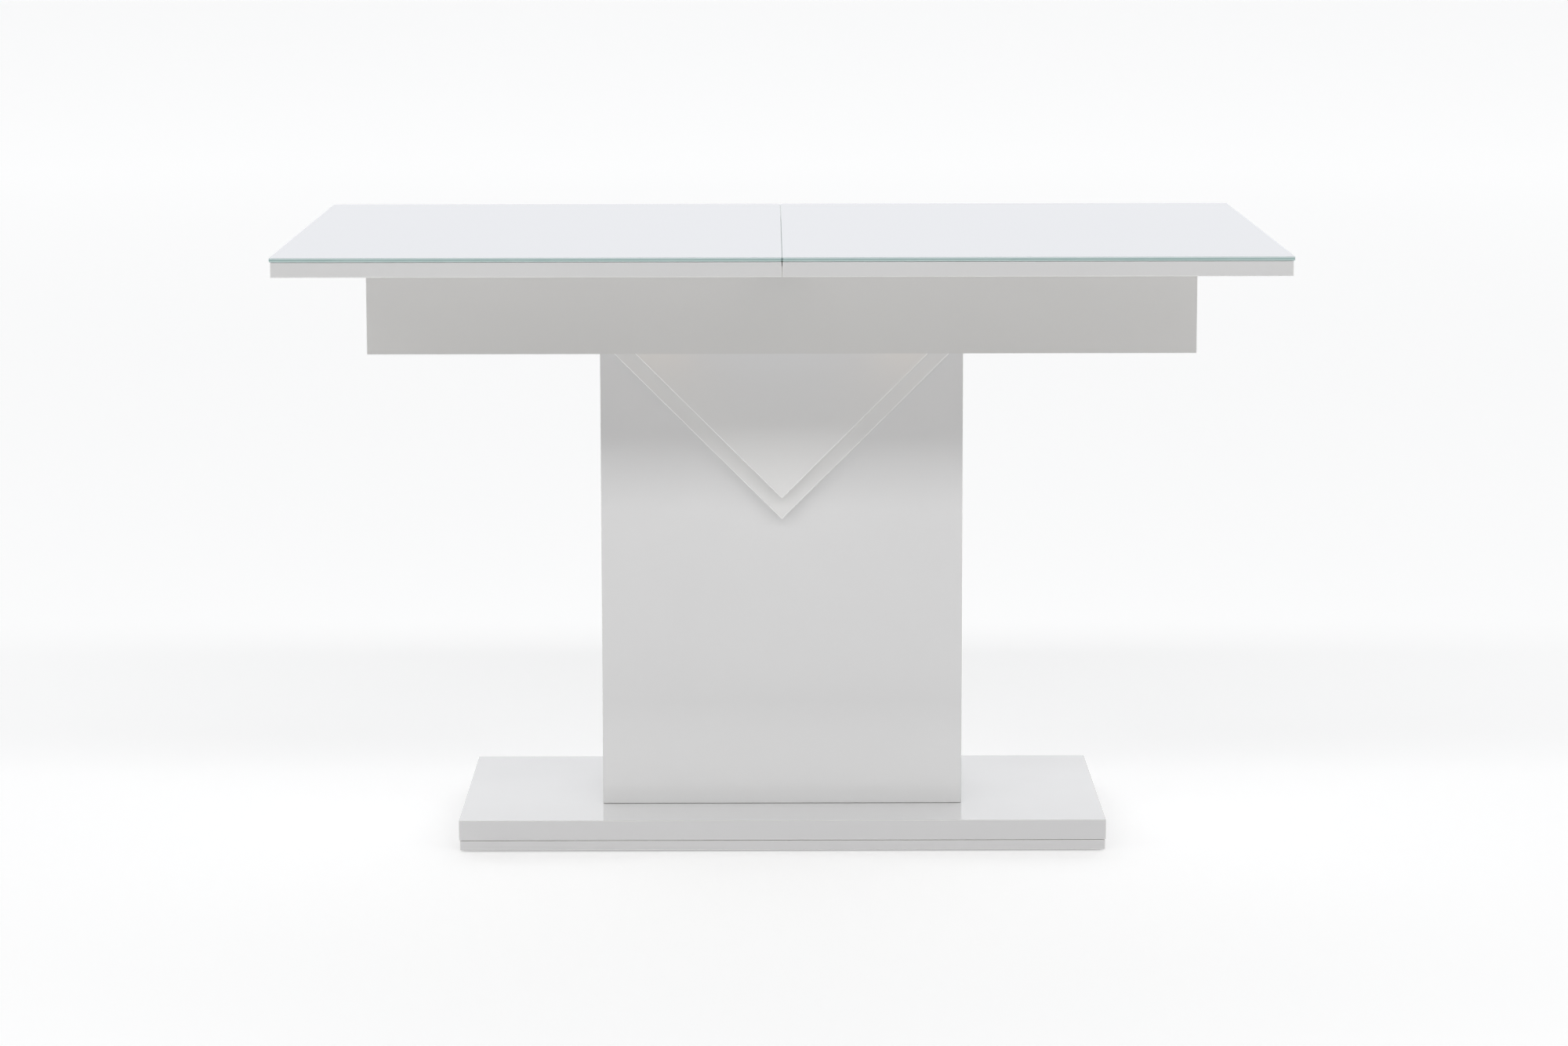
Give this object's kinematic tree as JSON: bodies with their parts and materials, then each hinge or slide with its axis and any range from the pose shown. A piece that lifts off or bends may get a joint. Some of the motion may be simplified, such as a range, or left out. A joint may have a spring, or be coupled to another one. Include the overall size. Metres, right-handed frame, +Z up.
{
  "type": "extendable dining table",
  "caption": "White pedestal dining table with a split glass-faced top that slides apart, a folding leaf stored in the apron, a panelled column with stepped V plates and a stepped base.",
  "frame": {"origin": "on the floor below the middle of the table", "axes": "+X along the table, the way the right half of the top pulls out, -Y towards the front, +Z up"},
  "size_m": [1.2, 0.8, 0.755],
  "materials": {
    "white_lacquer": "high gloss white lacquer",
    "white_glass": "polished, white painted on the back",
    "core_board": "raw board",
    "beech": "sanded",
    "aluminium": "extruded, anodised",
    "zinc_steel": "zinc plated",
    "black_plastic": "moulded",
    "grey_felt": "felt"
  },
  "bodies": {
    "frame": {"base_lower_plate": "white_lacquer", "base_upper_plate": "white_lacquer", "column_front_panel": "white_lacquer", "column_back_panel": "white_lacquer", "column_left_panel": "white_lacquer", "column_right_panel": "white_lacquer", "front_v_outer_plate": "white_lacquer", "front_v_inner_plate": "white_lacquer", "back_v_outer_plate": "white_lacquer", "back_v_inner_plate": "white_lacquer", "apron_front": "white_lacquer", "apron_back": "white_lacquer", "apron_left_end": "white_lacquer", "apron_right_end": "white_lacquer", "leaf_lower_board": "white_lacquer", "leaf_upper_board": "white_lacquer", "leaf_lower_glass": "white_glass", "leaf_upper_glass": "white_glass", "column_foot_board": "core_board", "column_head_board": "core_board", "cross_rail_left": "beech", "cross_rail_right": "beech", "corner_block_front_left": "beech", "corner_block_front_right": "beech", "corner_block_back_left": "beech", "corner_block_back_right": "beech", "front_guide_channel": "aluminium", "back_guide_channel": "aluminium", "tie_rod_front_left": "zinc_steel", "tie_rod_front_right": "zinc_steel", "tie_rod_back_left": "zinc_steel", "tie_rod_back_right": "zinc_steel", "front_pinion_axle": "zinc_steel", "back_pinion_axle": "zinc_steel", "leaf_hinge_left_lower_flap": "zinc_steel", "leaf_hinge_left_upper_flap": "zinc_steel", "leaf_hinge_right_lower_flap": "zinc_steel", "leaf_hinge_right_upper_flap": "zinc_steel", "base_glide_front_left": "grey_felt", "base_glide_front_right": "grey_felt", "base_glide_back_left": "grey_felt", "base_glide_back_right": "grey_felt"},
    "left_top": {"left_top_board": "white_lacquer", "left_top_glass": "white_glass", "front_left_runner": "zinc_steel", "back_left_runner": "zinc_steel", "front_lock_plate": "zinc_steel", "back_lock_strike": "zinc_steel", "seam_dowel_front": "beech", "seam_dowel_back": "beech"},
    "right_top": {"right_top_board": "white_lacquer", "right_top_glass": "white_glass", "front_right_runner": "zinc_steel", "back_right_runner": "zinc_steel", "back_lock_plate": "zinc_steel", "front_lock_strike": "zinc_steel"},
    "front_pinion": {"front_sync_pinion": "black_plastic"},
    "back_pinion": {"back_sync_pinion": "black_plastic"},
    "front_lever": {"front_lock_lever": "zinc_steel"},
    "back_lever": {"back_lock_lever": "zinc_steel"}
  },
  "joints": [
    {"name": "left_top_slide", "type": "slide", "parent": "frame", "child": "left_top", "axis": [-1, 0, 0], "range_m": [0, 0.2]},
    {"name": "right_top_slide", "type": "slide", "parent": "frame", "child": "right_top", "axis": [1, 0, 0], "range_m": [0, 0.2]},
    {"name": "front_pinion_turn", "type": "hinge", "parent": "frame", "child": "front_pinion", "pos_m": [0, -0.2207, 0.7], "axis": [0, -1, 0], "range_deg": [0, 820]},
    {"name": "back_pinion_turn", "type": "hinge", "parent": "frame", "child": "back_pinion", "pos_m": [0, 0.2207, 0.7], "axis": [0, 1, 0], "range_deg": [0, 820]},
    {"name": "front_lock_turn", "type": "hinge", "parent": "left_top", "child": "front_lever", "pos_m": [-0.015, -0.285, 0.7274], "axis": [0, 0, 1], "range_deg": [0, 90]},
    {"name": "back_lock_turn", "type": "hinge", "parent": "right_top", "child": "back_lever", "pos_m": [0.015, 0.285, 0.7274], "axis": [0, 0, 1], "range_deg": [0, 90]}
  ],
  "couplings": [
    {"joint": "right_top_slide", "follows": "left_top_slide", "ratio": 1},
    {"joint": "front_pinion_turn", "follows": "left_top_slide", "rad_per_m": 71.429},
    {"joint": "back_pinion_turn", "follows": "left_top_slide", "rad_per_m": 71.429}
  ]
}
